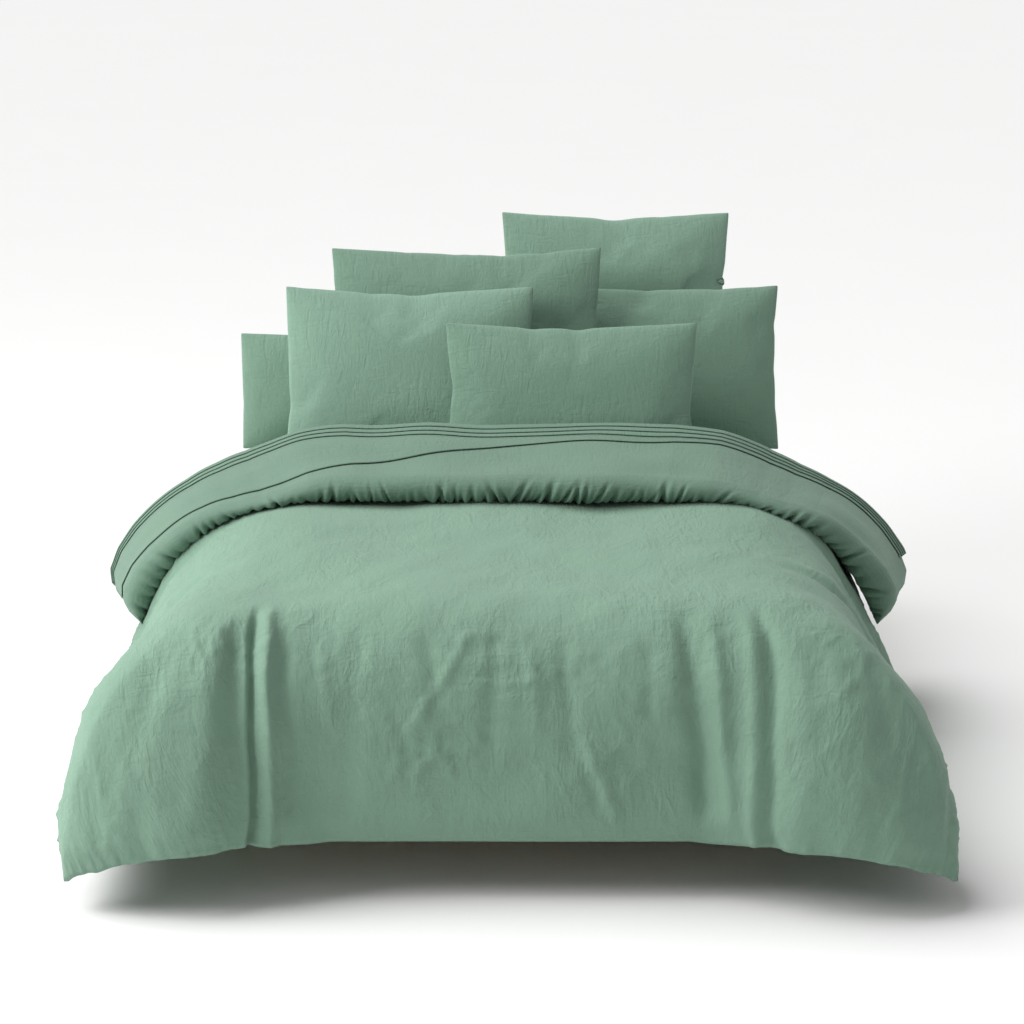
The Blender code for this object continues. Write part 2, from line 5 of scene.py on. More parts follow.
import bmesh
import bpy
import numpy as np
from mathutils import Matrix, Vector
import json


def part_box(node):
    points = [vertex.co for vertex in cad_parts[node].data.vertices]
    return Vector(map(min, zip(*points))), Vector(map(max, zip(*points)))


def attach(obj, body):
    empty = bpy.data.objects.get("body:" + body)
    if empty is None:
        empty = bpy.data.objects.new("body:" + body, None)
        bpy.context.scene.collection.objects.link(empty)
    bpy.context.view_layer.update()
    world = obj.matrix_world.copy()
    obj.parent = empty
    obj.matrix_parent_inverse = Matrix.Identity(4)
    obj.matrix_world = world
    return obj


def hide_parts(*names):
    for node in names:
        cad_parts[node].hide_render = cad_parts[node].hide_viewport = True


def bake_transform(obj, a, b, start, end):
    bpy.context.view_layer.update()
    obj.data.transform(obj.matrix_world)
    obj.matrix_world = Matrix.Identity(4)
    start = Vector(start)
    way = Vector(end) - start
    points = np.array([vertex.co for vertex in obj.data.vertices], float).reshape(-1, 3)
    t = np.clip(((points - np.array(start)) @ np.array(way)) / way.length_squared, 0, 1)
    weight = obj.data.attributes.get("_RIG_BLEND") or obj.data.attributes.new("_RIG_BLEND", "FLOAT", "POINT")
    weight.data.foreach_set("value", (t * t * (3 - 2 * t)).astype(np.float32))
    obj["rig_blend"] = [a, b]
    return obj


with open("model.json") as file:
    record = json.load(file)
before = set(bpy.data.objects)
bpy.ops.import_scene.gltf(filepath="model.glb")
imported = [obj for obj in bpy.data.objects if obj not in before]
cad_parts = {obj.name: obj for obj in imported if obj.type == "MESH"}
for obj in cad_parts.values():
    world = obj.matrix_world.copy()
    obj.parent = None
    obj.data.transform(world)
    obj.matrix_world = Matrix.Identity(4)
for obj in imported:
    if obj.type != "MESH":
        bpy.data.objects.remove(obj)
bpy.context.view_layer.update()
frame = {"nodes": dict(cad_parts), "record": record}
made = bpy.context.scene


# ---- Where it is seen from: a long lens a little above the foot of the bed, on its middle line.
def place_camera():
    camera = bpy.data.objects.new("camera", bpy.data.cameras.new("camera"))
    camera.data.lens = 109.3
    camera.data.sensor_width = 36
    camera.data.clip_end = 60
    camera.location = (0, -7.5904, 2.9)
    camera.rotation_euler = (math.radians(90 - 16.9), 0, 0)
    camera.data.shift_x = 0.002
    made.collection.objects.link(camera)
    made.camera = camera


place_camera()


# ---- The studio: a pale floor, a broad high light from the left and behind, a softbox at the left
# that lights the near side more than the far one, and an even white surround.
def aim(lamp, place, at):
    lamp.location = place
    lamp.rotation_euler = (Vector(at) - Vector(place)).to_track_quat("-Z", "Y").to_euler()
    made.collection.objects.link(lamp)


high = bpy.data.objects.new("high_light", bpy.data.lights.new("high_light", "SUN"))
high.data.angle = math.radians(50)
high.data.energy = 2.3
aim(high, (-2.6, 1.6, 5.0), (0, 0, 0.4))
softbox = bpy.data.objects.new("left_softbox", bpy.data.lights.new("left_softbox", "AREA"))
softbox.data.shape = "DISK"
softbox.data.size = 2.4
softbox.data.energy = 128
aim(softbox, (-3.9, -1.5, 2.9), (-0.3, 0, 0.5))
made.view_settings.view_transform = "Standard"
made.world = bpy.data.worlds.new("surround")
made.world.use_nodes = True
made.world.node_tree.nodes["Background"].inputs["Color"].default_value = (1, 1, 1, 1)
made.world.node_tree.nodes["Background"].inputs["Strength"].default_value = 0.34


def whiten_backdrop(tree):
    """Behind everything the surround is plain white, though it lights the bed only softly."""
    seen, rays, mix = (
        tree.nodes.new(f"ShaderNode{kind}") for kind in ("Background", "LightPath", "MixShader")
    )
    seen.inputs["Strength"].default_value = 0.94
    tree.links.new(rays.outputs["Is Camera Ray"], mix.inputs[0])
    tree.links.new(tree.nodes["Background"].outputs[0], mix.inputs[1])
    tree.links.new(seen.outputs[0], mix.inputs[2])
    tree.links.new(mix.outputs[0], tree.nodes["World Output"].inputs["Surface"])


whiten_backdrop(made.world.node_tree)


# ---- Finishes: an expression on values adds its Math nodes, and add() makes every other node.
class Value:
    """A shader socket that Python's operators work on."""

    def __init__(self, finish, socket):
        self.finish, self.socket = finish, socket

    def maths(self, operation, *values):
        return self.finish.add("ShaderNodeMath", {"operation": operation}, *values)

    def __add__(self, other):
        return self.maths("ADD", self, other)

    def __sub__(self, other):
        return self.maths("SUBTRACT", self, other)

    def __rsub__(self, other):
        return self.maths("SUBTRACT", other, self)

    def __mul__(self, other):
        return self.maths("MULTIPLY", self, other)

    def __truediv__(self, other):
        return self.maths("DIVIDE", self, other)

    def __pow__(self, other):
        return self.maths("POWER", self, other)

    def __abs__(self):
        return self.maths("ABSOLUTE", self)

    __radd__, __rmul__ = __add__, __mul__

    def clamped(self):
        return self.maths("MINIMUM", self.maths("MAXIMUM", self, 0.0), 1.0)

    def out(self, name):
        return Value(self.finish, self.socket.node.outputs[name])


class Finish:
    """A material with a Principled BSDF, built up node by node."""

    def __init__(self, name, colour, roughness, **shader):
        self.material = bpy.data.materials.new(name)
        self.material.use_nodes = True
        self.tree = self.material.node_tree
        self.shader = self.tree.nodes["Principled BSDF"]
        self.shader.inputs["Base Color"].default_value = (*colour, 1)
        self.shader.inputs["Roughness"].default_value = roughness
        for socket, value in shader.items():
            self.shader.inputs[socket.replace("_", " ")].default_value = value

    def add(self, kind, settings, *places, **named):
        """A node of that kind, its settings made first, then its sockets given values or links."""
        node = self.tree.nodes.new(kind)
        for key, value in settings.items():
            if key == "stops":
                self.set_stops(node.color_ramp, value)
            else:
                setattr(node, key, value)
        for socket, value in zip(node.inputs, places):
            self.feed(socket, value)
        for name, value in named.items():
            free = [s for s in node.inputs if s.name == name.replace("_", " ") and s.enabled]
            self.feed(free[0], value)
        return Value(self, next(s for s in node.outputs if s.enabled))

    def set_stops(self, ramp, stops):
        while len(ramp.elements) < len(stops):
            ramp.elements.new(0.5)
        for element, (position, colour) in zip(ramp.elements, stops):
            element.position = position
            element.color = (*colour, 1)

    def feed(self, socket, value):
        if isinstance(value, Value):
            self.tree.links.new(value.socket, socket)
        elif hasattr(value, "__len__") and len(socket.default_value) == 4:
            socket.default_value = (*value, 1)
        else:
            socket.default_value = value

    def mix(self, share, first, second):
        settings = {"data_type": "RGBA"}
        return self.add("ShaderNodeMix", settings, Factor=share, A=first, B=second)

    def noise(self, where, scale, detail=3.0, distortion=0.0):
        return self.add(
            "ShaderNodeTexNoise",
            {},
            Vector=where,
            Scale=scale,
            Detail=detail,
            Distortion=distortion,
        )

    def stretched(self, where, by):
        return self.add("ShaderNodeMapping", {}, Vector=where, Scale=by)

    def set(self, socket, value):
        self.feed(self.shader.inputs[socket], value)

    def relief(self, height, depth, onto=None):
        """A bump of height times depth metres."""
        settings = {"Height": height, "Distance": depth, "Strength": 1.0}
        if onto is not None:
            settings["Normal"] = onto
        return self.add("ShaderNodeBump", {}, **settings)


def cotton(name, colour, hem=False, crush=0.0):
    """Plain-woven cotton, stone washed: soft crinkles both ways, slubby yarn, a little bloom."""
    cloth = Finish(
        name,
        colour,
        0.88,
        Sheen_Weight=0.22,
        Sheen_Roughness=0.45,
        Sheen_Tint=(0.80, 0.92, 0.84, 1),
        Specular_IOR_Level=0.25,
    )
    flat = cloth.add("ShaderNodeUVMap", {"uv_map": "cloth"})
    bloom = cloth.noise(flat, 5.0, 3)
    slub = cloth.noise(cloth.stretched(flat, (60, 900, 1)), 1.0, 2)
    slub_across = cloth.noise(cloth.stretched(flat, (900, 60, 1)), 1.0, 2)
    upright = cloth.noise(cloth.stretched(flat, (52, 12, 1)), 1.0, 4, 0.5)
    level = cloth.noise(cloth.stretched(flat, (11, 44, 1)), 1.0, 4, 0.5)
    fine = cloth.noise(cloth.stretched(flat, (150, 110, 1)), 1.0, 3, 0.4)
    ridges = 1 - abs(upright * 2 - 1)
    ridges_level = 1 - abs(level * 2 - 1)
    patch = (cloth.noise(flat, 3.2, 2) * 2.6 - 0.8).clamped()
    crushed = (1 - abs(cloth.noise(cloth.stretched(flat, (15, 10, 1)), 1.0, 5, 0.7) * 2 - 1)) ** 3.0
    # random tone from the bloom and the slub, plus painted shade: darker in the crinkle hollows and lighter
    # on their ridges
    tone_and_crinkle_shade = (bloom - 0.5) * 0.5 + (slub - 0.5) * 0.5 + (slub_across - 0.5) * 0.5
    tone_and_crinkle_shade = (tone_and_crinkle_shade + (ridges - 0.8) * 0.2 + 0.5).clamped()
    deep = tuple(c * 0.86 for c in colour)
    pale = tuple(min(1, c * 1.14) for c in colour)
    cloth.set("Base Color", cloth.mix(tone_and_crinkle_shade, deep, pale))
    cloth.set("Roughness", (0.82 + (slub - 0.5) * 0.16).clamped())
    warp = cloth.add("ShaderNodeTexWave", {"bands_direction": "X"}, Vector=flat, Scale=190.0)
    weft = cloth.add("ShaderNodeTexWave", {"bands_direction": "Y"}, Vector=flat, Scale=190.0)
    weave = warp * 0.5 + weft * 0.5 + slub * 0.4 + slub_across * 0.4
    height = (ridges * 0.0024 + ridges_level * 0.0022 + crushed * crush) * (patch * 0.75 + 0.25)
    height = height + fine * 0.0009
    relief = cloth.relief(height, 1.0)
    if hem:
        apart = cloth.add("ShaderNodeSeparateXYZ", {}, Vector=flat)
        from_hem = apart.out("Y")
        row = (1 - abs(from_hem - 0.026) / 0.0022).clamped()
        stitch = cloth.add("ShaderNodeMath", {"operation": "SINE"}, apart.out("X") * 1570.0)
        relief = cloth.relief(row * (stitch * 0.5 + 0.5), -0.0016, relief)
    cloth.set("Normal", cloth.relief(weave, 0.00022, relief))
    return cloth.material


SAGE = (0.205, 0.335, 0.250)
# painted shade: a darker copy of the sage, a shaded version of the cloth for the turned-down roll and the
# flat sheet's band
SAGE_PAINTED_SHADE = (0.157, 0.260, 0.193)
# painted light: a lighter copy of the sage for two of the pillows, standing in for the light falling on them
SAGE_PAINTED_LIGHT = (0.245, 0.392, 0.298)
sage_cotton = cotton("sage_cotton", SAGE)
crushed_cotton = cotton("sage_cotton_crushed", SAGE, crush=0.0026)


def floor_finish():
    pale = Finish("pale_floor", (0.97, 0.97, 0.965), 0.7)
    where = pale.add("ShaderNodeTexCoord", {}).out("Object")
    cloud = pale.noise(where, 1.5, 2)
    pale.set("Base Color", pale.mix(cloud, (0.965, 0.965, 0.96), (0.985, 0.985, 0.98)))
    return pale.material


def lay_floor():
    bm = bmesh.new()
    bmesh.ops.create_grid(bm, x_segments=1, y_segments=1, size=30)
    mesh = bpy.data.meshes.new("floor")
    bm.to_mesh(mesh)
    bm.free()
    mesh.materials.append(floor_finish())
    floor = bpy.data.objects.new("floor", mesh)
    floor.location.z = -0.001
    made.collection.objects.link(floor)


lay_floor()


# ---- The base: pine rails and slats, planed, eased at the edges and varnished matt, on turned
# legs. Each timber is the frame's own solid, and its grain runs along its length.
def pine(name, along):
    wood = Finish(name, (0.62, 0.45, 0.28), 0.5, Coat_Weight=0.08, Coat_Roughness=0.5)
    where = wood.add("ShaderNodeTexCoord", {}).out("Object")
    fibre = [38.0, 38.0, 38.0]
    fibre[along] = 1.6
    rings = wood.noise(wood.stretched(where, tuple(fibre)), 1.0, 4, 0.8)
    bands = wood.add("ShaderNodeMath", {"operation": "FRACT"}, rings * 7)
    streak = wood.noise(wood.stretched(where, tuple(9 * f for f in fibre)), 1.0, 3)
    tone = (bands * 0.55 + streak * 0.45).clamped()
    wood.set("Base Color", wood.mix(tone, (0.50, 0.33, 0.18), (0.74, 0.57, 0.38)))
    wood.set("Roughness", (0.42 + streak * 0.2).clamped())
    wood.set("Normal", wood.relief(tone, 0.0004))
    return wood.material


def finish_base():
    across, lengthways, upright = (
        pine("pine_grain_" + way, i) for i, way in enumerate(("across", "lengthways", "upright"))
    )
    for node in frame["record"]["behaviour"]["bodies"]["bed_base"]:
        if node.startswith("leg_"):
            grain = upright
        elif node.startswith("side_") or node == "centre_beam":
            grain = lengthways
        else:
            grain = across
        timber = frame["nodes"][node]
        timber.data.materials.clear()
        timber.data.materials.append(grain)


finish_base()


# ---- The mattress: white core in a quilted ticking. Only its panels can be seen, from below.
def ticking():
    cloth = Finish("quilted_ticking", (0.78, 0.77, 0.73), 0.85, Sheen_Weight=0.2)
    where = cloth.add("ShaderNodeTexCoord", {}).out("Object")
    quilt = cloth.add("ShaderNodeTexVoronoi", {"distance": "EUCLIDEAN"}, Vector=where, Scale=11.0)
    yarn = cloth.noise(where, 900.0, 2)
    cloth.set("Base Color", cloth.mix(yarn, (0.70, 0.69, 0.65), (0.84, 0.83, 0.80)))
    cloth.set("Normal", cloth.relief((0.7 - quilt).clamped() + yarn * 0.05, 0.006))
    return cloth.material


def finish_mattress():
    finish = ticking()
    for node in ("mattress_core", "mattress_border", "mattress_top_panel", "mattress_bottom_panel"):
        frame["nodes"][node].data.materials.clear()
        frame["nodes"][node].data.materials.append(finish)


finish_mattress()


# ---- Cloth: a panel is a grid that remembers where each of its points lies on the flat cloth, and
# every sheet, pad and pillow starts as one.
def panel(columns, rows):
    """A grid of cloth with its corners at the first and last column and row, in flat metres."""
    bm = bmesh.new()
    across, along = (bm.verts.layers.float.new(name) for name in ("across", "along"))
    bmesh.ops.create_grid(bm, x_segments=len(columns) - 1, y_segments=len(rows) - 1, size=0.5)
    for v in bm.verts:
        v[across] = columns[round((v.co.x + 0.5) * (len(columns) - 1))]
        v[along] = rows[round((v.co.y + 0.5) * (len(rows) - 1))]
    return bm


def flat_places(bm):
    across, along = (bm.verts.layers.float[name] for name in ("across", "along"))
    return np.array([(v[across], v[along]) for v in bm.verts]).T


def put(verts, points):
    for v, point in zip(verts, points):
        v.co = point


def even(low, high, step):
    return np.linspace(low, high, max(2, round((high - low) / step) + 1))


def unit(vectors):
    return vectors / np.linalg.norm(vectors, axis=-1, keepdims=True)


def thicken(bm, above, below):
    """Closes a panel into a pad: its face moves out by above, and its lining in by below."""
    bm.normal_update()
    upper = list(bm.verts)
    normals = np.array([v.normal for v in upper])
    at = flat_places(bm)
    places = np.array([v.co for v in upper])
    grown = bmesh.ops.extrude_face_region(bm, geom=bm.faces[:], use_keep_orig=True)
    lower = [v for v in grown["geom"] if isinstance(v, bmesh.types.BMVert)]
    order = {tuple(np.round(p, 6)): i for i, p in enumerate(places)}
    match = [order[tuple(np.round(v.co, 6))] for v in lower]
    out, depth = above(*at)[:, None], below(*at)[:, None]
    put(upper, places + normals * out)
    put(lower, (places - normals * depth)[match])
    bmesh.ops.recalc_face_normals(bm, faces=bm.faces)


def finished(bm, name, finish):
    """The mesh as a smooth piece, with the flat places as its UV map."""
    mesh = bpy.data.meshes.new(name)
    across, along = (bm.verts.layers.float[key] for key in ("across", "along"))
    uv = bm.loops.layers.uv.new("cloth")
    for face in bm.faces:
        face.smooth = True
        for loop in face.loops:
            loop[uv].uv = (loop.vert[across], loop.vert[along])
    bm.to_mesh(mesh)
    bm.free()
    mesh.materials.append(finish)
    piece = bpy.data.objects.new(name, mesh)
    made.collection.objects.link(piece)
    return piece


def step(x):
    """0 to 1, smoothly, as x goes from 0 to 1."""
    x = np.clip(x, 0, 1)
    return x * x * (3 - 2 * x)


def hill(x, width):
    return np.exp(-((x / width) ** 2))


def wander(x, waves, seed):
    """A smooth uneven line round 0, of about 1 either way."""
    places = np.random.default_rng(seed)
    total = 0 * x
    for wave in waves:
        total = total + np.sin(2 * np.pi * (x / wave + places.random()))
    return total / math.sqrt(len(waves))


def clouds(x, y, size, seed, count=24):
    """A smooth uneven field round 0, of about 1 either way, with features of about that size."""
    places = np.random.default_rng(seed)
    total = 0 * x
    for _ in range(count):
        turn, shift = places.random(2) * 2 * np.pi
        pitch = size * (0.7 + 0.9 * places.random())
        total = total + np.sin(2 * np.pi * (x * math.cos(turn) + y * math.sin(turn)) / pitch + shift)
    return total / math.sqrt(count / 2)


def creases(x, y, size, seed):
    """Narrow ridges between wide soft hollows, as crumpled cloth dries: 0 to about 1."""
    return (1 - abs(clouds(x, y, size, seed, 12))).clip(0, 1) ** 3


# ---- The fitted sheet: one cotton panel with sewn corners, drawn tight over the mattress, with an
# elastic hem that gathers it under the edge.
SHEET_CORNER = 0.062
SHEET_EDGE = 0.0075
SHEET_LIP = 0.06


def wrap_fitted_sheet():
    low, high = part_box("fitted_sheet")
    middle = (low + high) / 2
    half_x, half_y, height = high.x - middle.x, high.y - middle.y, high.z - low.z
    corner, edge, lip = SHEET_CORNER, SHEET_EDGE, SHEET_LIP
    # the profile, from the elastic hem under the mattress to the middle of the top: how far it is in
    # from the side, and how high
    turns = np.linspace(0, np.pi / 2, 7)
    inset = np.concatenate(
        [
            [lip, lip - 0.014, lip - 0.028],
            edge * (1 - np.sin(turns)),
            np.zeros(14),
            edge * (1 - np.cos(turns)),
            [0.05, 0.08, 0.12, 0.17, 0.23, 0.3, 0.38, 0.47, 0.56, 0.64, 0.70],
        ]
    )
    sides = np.linspace(edge, height - edge, 16)[1:-1]
    lower, upper = edge * (1 - np.cos(turns)), height - edge * (1 - np.sin(turns))
    rise = np.concatenate([np.zeros(3), lower, sides, upper, np.full(11, height)])
    # the outline: the straight sides and the round corners, starting at the middle of the foot
    xs, ys = half_x - corner, half_y - corner
    quarter = corner * np.pi / 2
    bounds = np.cumsum([0, xs, quarter, 2 * ys, quarter, 2 * xs, quarter, 2 * ys, quarter, xs])
    around = even(0, bounds[-1], 0.014)
    leg = np.clip(np.searchsorted(bounds, around, side="right") - 1, 0, 8)
    part = (around - bounds[leg]) / (bounds[leg + 1] - bounds[leg])
    starts = [(0, -1), (1, -1), (1, -1), (1, 1), (1, 1), (-1, 1), (-1, 1), (-1, -1), (-1, -1)]
    starts.append(starts[0])
    x, y, nx, ny = (np.zeros_like(around) for _ in range(4))
    for i in range(9):
        here = leg == i
        (ax, ay), (bx, by) = starts[i], starts[i + 1]
        if i % 2 == 0:
            x[here] = (ax + (bx - ax) * part[here]) * xs
            y[here] = (ay + (by - ay) * part[here]) * ys
            nx[here], ny[here] = (0, ay) if ay == by else (ax, 0)
        else:
            angle = (-90 + 90 * (i // 2) + 90 * part[here]) * math.pi / 180
            x[here], y[here] = ax * xs, ay * ys
            nx[here], ny[here] = np.cos(angle), np.sin(angle)
    bm = panel(even(0, bounds[-1], 0.014), even(0, 1, 1 / (len(inset) - 1)))
    at = flat_places(bm)
    column = np.rint(at[0] / bounds[-1] * (len(around) - 1)).astype(int)
    row = np.rint(at[1] * (len(inset) - 1)).astype(int)
    cloth = np.concatenate([[0], np.cumsum(np.hypot(np.diff(inset), np.diff(rise)))])
    along = bm.verts.layers.float["along"]
    for v, i in zip(bm.verts, row):
        v[along] = cloth[i]
    s, t = around[column], cloth[row]
    beyond = corner - inset[row]
    radius = np.maximum(beyond, 0)
    shrink = np.minimum(beyond, 0)
    flat_x, flat_y = xs + shrink, ys + shrink
    px = x[column] / xs * flat_x + nx[column] * radius
    py = y[column] / ys * flat_y + ny[column] * radius
    from_corner = np.min([abs(s - (bounds[i] + bounds[i + 1]) / 2) for i in (1, 3, 5, 7)], axis=0)
    upright = (rise[row] > 0.004) & (inset[row] < 0.02)
    pulled = wander(s, (0.021, 0.034, 0.055), 41) * hill(rise[row] - 0.01, 0.07)
    pulled = pulled * (0.3 + hill(from_corner, 0.16))
    from_seam = np.minimum(s, bounds[-1] - s)
    slack = 0.0020 + (clouds(s, t, 0.30, 43) * 0.0016 + pulled * 0.0022) * step(from_seam / 0.15)
    out = np.where(upright, slack - 0.003 * hill(from_corner, 0.004), 0)
    lift = np.where(rise[row] >= height - 1e-6, clouds(px, py, 0.22, 45) * 0.0012, 0)
    px, py = px + nx[column] * out, py + ny[column] * out
    put(bm.verts, np.stack([middle.x + px, middle.y + py, low.z + rise[row] + lift], -1))
    bmesh.ops.remove_doubles(bm, verts=bm.verts, dist=0.00005)
    slit = [e for e in bm.edges if e.is_boundary and e.verts[0].co.z > middle.z]
    bmesh.ops.holes_fill(bm, edges=slit, sides=0)
    bmesh.ops.recalc_face_normals(bm, faces=bm.faces)
    sheet = finished(bm, "fitted_sheet_cloth", sage_cotton)
    wall = sheet.modifiers.new("cloth", "SOLIDIFY")
    wall.thickness = 0.0014
    wall.offset = 1
    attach(sheet, "mattress")
    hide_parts("fitted_sheet")


wrap_fitted_sheet()


# ---- The duvet: a fibre insert in a cotton cover, seamed at its hems. It lies on the mattress,
# bends over three sides of it, hangs in soft folds at the foot, and flares at the corners.
FOLD_Y, DUVET_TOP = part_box("duvet_cover_body")[1].yz
CROWN_HALF = 0.41
CROWN_FOOT_Y = -0.5989
CORNER_POWER = 6.3
# how much lower the cloth hangs towards the corners, from the side (0) to the foot (1)
CORNER_SAG = (
    (0.0, 0.36, 0.42, 0.46, 0.50, 0.54, 0.61, 0.68, 0.74, 0.82, 0.90, 1.0),
    (0.0, 0.0, 0.004, 0.018, 0.062, 0.092, 0.092, 0.070, 0.054, 0.022, 0.006, -0.008),
)
SIDE_HEM = CROWN_HALF + 0.92
FOOT_HEM = CROWN_FOOT_Y - 0.82
FREE_EDGE_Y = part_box("duvet_cover_turn_down")[0].y
TURN_DOWN_HALF = SIDE_HEM - 0.13


def fall_line(start, bend, steepest):
    cloth = (np.arange(500) + 0.5) * 0.004
    angle = math.radians(steepest) * step((cloth - start) / bend)
    line = np.cumsum(np.stack([np.cos(angle), np.sin(angle)]) * 0.004, axis=1)
    return np.concatenate([np.zeros((2, 1)), line], axis=1)


SIDE_LINE, FOOT_LINE = fall_line(0.02, 0.66, 66), fall_line(0.10, 0.50, 80)
CORNER_LINE = fall_line(0.12, 0.73, 78)
CLOTH = np.arange(501) * 0.004


def past_crown(across, along):
    """How far a flat place is past the crown's sides and past its foot, in cloth."""
    side, foot = np.maximum(abs(across) - CROWN_HALF, 0), np.maximum(CROWN_FOOT_Y - along, 0)
    return side, foot, (side**CORNER_POWER + foot**CORNER_POWER) ** (1 / CORNER_POWER)


def drape(across, along):
    """Where each flat place of the duvet's upper face lies."""
    side, foot, past = past_crown(across, along)
    to_foot = foot**2 / np.maximum(side**2 + foot**2, 1e-12)
    fallen = []
    for at_side, at_foot, at_corner in zip(SIDE_LINE, FOOT_LINE, CORNER_LINE):
        edge = np.interp(past, CLOTH, at_side) * (1 - to_foot)
        edge = edge + np.interp(past, CLOTH, at_foot) * to_foot
        cornering = 4 * to_foot * (1 - to_foot)
        fallen.append(edge * (1 - cornering) + np.interp(past, CLOTH, at_corner) * cornering)
    out, down = fallen
    turn = np.arctan2(foot, np.maximum(side, 1e-6)) / (np.pi / 2)
    down = down + np.interp(turn, *CORNER_SAG) * step((past - 0.30) / 0.50)
    share = out / np.maximum(past, 1e-6)
    x = np.clip(across, -CROWN_HALF, CROWN_HALF) + np.sign(across) * side * share
    y = np.maximum(along, CROWN_FOOT_Y) - foot * share
    return np.stack([x, y, DUVET_TOP - down], axis=-1)


def facing(across, along):
    """The upper face's outward normal at each flat place."""
    right = drape(across + 0.003, along) - drape(across - 0.003, along)
    ahead = drape(across, along + 0.003) - drape(across, along - 0.003)
    return unit(np.cross(right, ahead))


def body_thickness(across, along):
    past = past_crown(across, along)[2]
    full = 0.093 - 0.060 * step(past / 0.22)
    from_hem = np.minimum(SIDE_HEM - abs(across), along - FOOT_HEM)
    return 0.012 + (full - 0.012) * step((from_hem + 0.004) / 0.13)


# Each fold's line, as (cloth past the crown, place), its width where it starts and where it ends,
# and how far it stands proud, or dips.
FOOT_FOLDS = (
    (((0.30, -0.575), (0.51, -0.594), (0.65, -0.620), (0.74, -0.644), (0.84, -0.672)), 0.010, 0.012, -0.030),
    (((0.34, -0.612), (0.60, -0.655), (0.84, -0.725)), 0.028, 0.050, -0.026),
    (((0.27, -0.545), (0.51, -0.563), (0.84, -0.620)), 0.013, 0.019, 0.014),
    (((0.34, -0.512), (0.60, -0.530), (0.84, -0.565)), 0.018, 0.030, -0.010),
    (((0.34, -0.655), (0.60, -0.72), (0.84, -0.86)), 0.036, 0.050, 0.009),
    (((0.40, -0.80), (0.84, -0.98)), 0.030, 0.050, -0.006),
    (((0.36, -0.425), (0.52, -0.410)), 0.014, 0.018, 0.005),
    (((0.30, -0.335), (0.84, -0.375)), 0.024, 0.040, -0.005),
    (((0.34, -0.190), (0.50, -0.170)), 0.018, 0.020, -0.006),
    (((0.33, -0.095), (0.55, -0.215)), 0.012, 0.014, 0.006),
    (((0.32, -0.030), (0.62, -0.050)), 0.018, 0.028, -0.006),
    (((0.36, 0.052), (0.56, 0.058)), 0.018, 0.020, 0.005),
    (((0.34, 0.124), (0.62, 0.137)), 0.016, 0.022, -0.007),
    (((0.60, 0.180), (0.80, 0.252)), 0.010, 0.012, 0.008),
    (((0.58, 0.150), (0.80, 0.222)), 0.014, 0.016, -0.005),
    (((0.36, 0.312), (0.52, 0.322)), 0.020, 0.020, -0.005),
    (((0.30, 0.400), (0.53, 0.425), (0.76, 0.460)), 0.020, 0.034, -0.016),
    (((0.30, 0.456), (0.53, 0.492), (0.78, 0.550)), 0.018, 0.024, 0.011),
    (((0.30, 0.538), (0.60, 0.582), (0.84, 0.632)), 0.016, 0.020, 0.010),
    (((0.30, 0.574), (0.60, 0.625), (0.84, 0.682)), 0.014, 0.022, -0.018),
    (((0.36, 0.640), (0.84, 0.760)), 0.030, 0.036, 0.007),
    (((0.42, 0.840), (0.84, 0.960)), 0.030, 0.044, -0.005),
    (((0.20, 1.180), (0.72, 1.215)), 0.024, 0.034, -0.010),
)
SIDE_FOLDS = (
    (((0.30, -0.470), (0.92, -0.440)), 0.022, 0.034, -0.010),
    (((0.30, -0.420), (0.92, -0.380)), 0.026, 0.036, 0.008),
    (((0.42, -0.270), (0.92, -0.250)), 0.018, 0.026, -0.007),
    (((0.36, -0.110), (0.92, -0.130)), 0.024, 0.034, -0.009),
    (((0.36, -0.050), (0.92, -0.060)), 0.026, 0.036, 0.008),
    (((0.44, 0.120), (0.92, 0.140)), 0.018, 0.026, -0.006),
)
# place from the side (0) to the foot (1), width, and how far it dips
CORNER_FOLDS = ((0.26, 0.045, 0.009), (0.36, 0.050, -0.009), (0.52, 0.050, 0.007))
HEM_REACH = 0.82  # a fold that ends lower than this runs into the hem


def hanging(place, drop, fold_list, sway):
    """The folds down one side of the drop, each fading in where it starts and out past its end."""
    total = 0 * place
    for line, width, end_width, height in fold_list:
        drops, places = np.array(line).T
        share = (drop - drops[0]) / (drops[-1] - drops[0])
        wide = width + (end_width - width) * np.clip(share, 0, 1) ** 1.5
        fade = step(share / 0.30 + 0.5)
        if drops[-1] < HEM_REACH:
            fade = fade * step((1.25 - share) / 0.35)
        total = total + height * hill(place - np.interp(drop, drops, places) - sway, wide) * fade
    return total


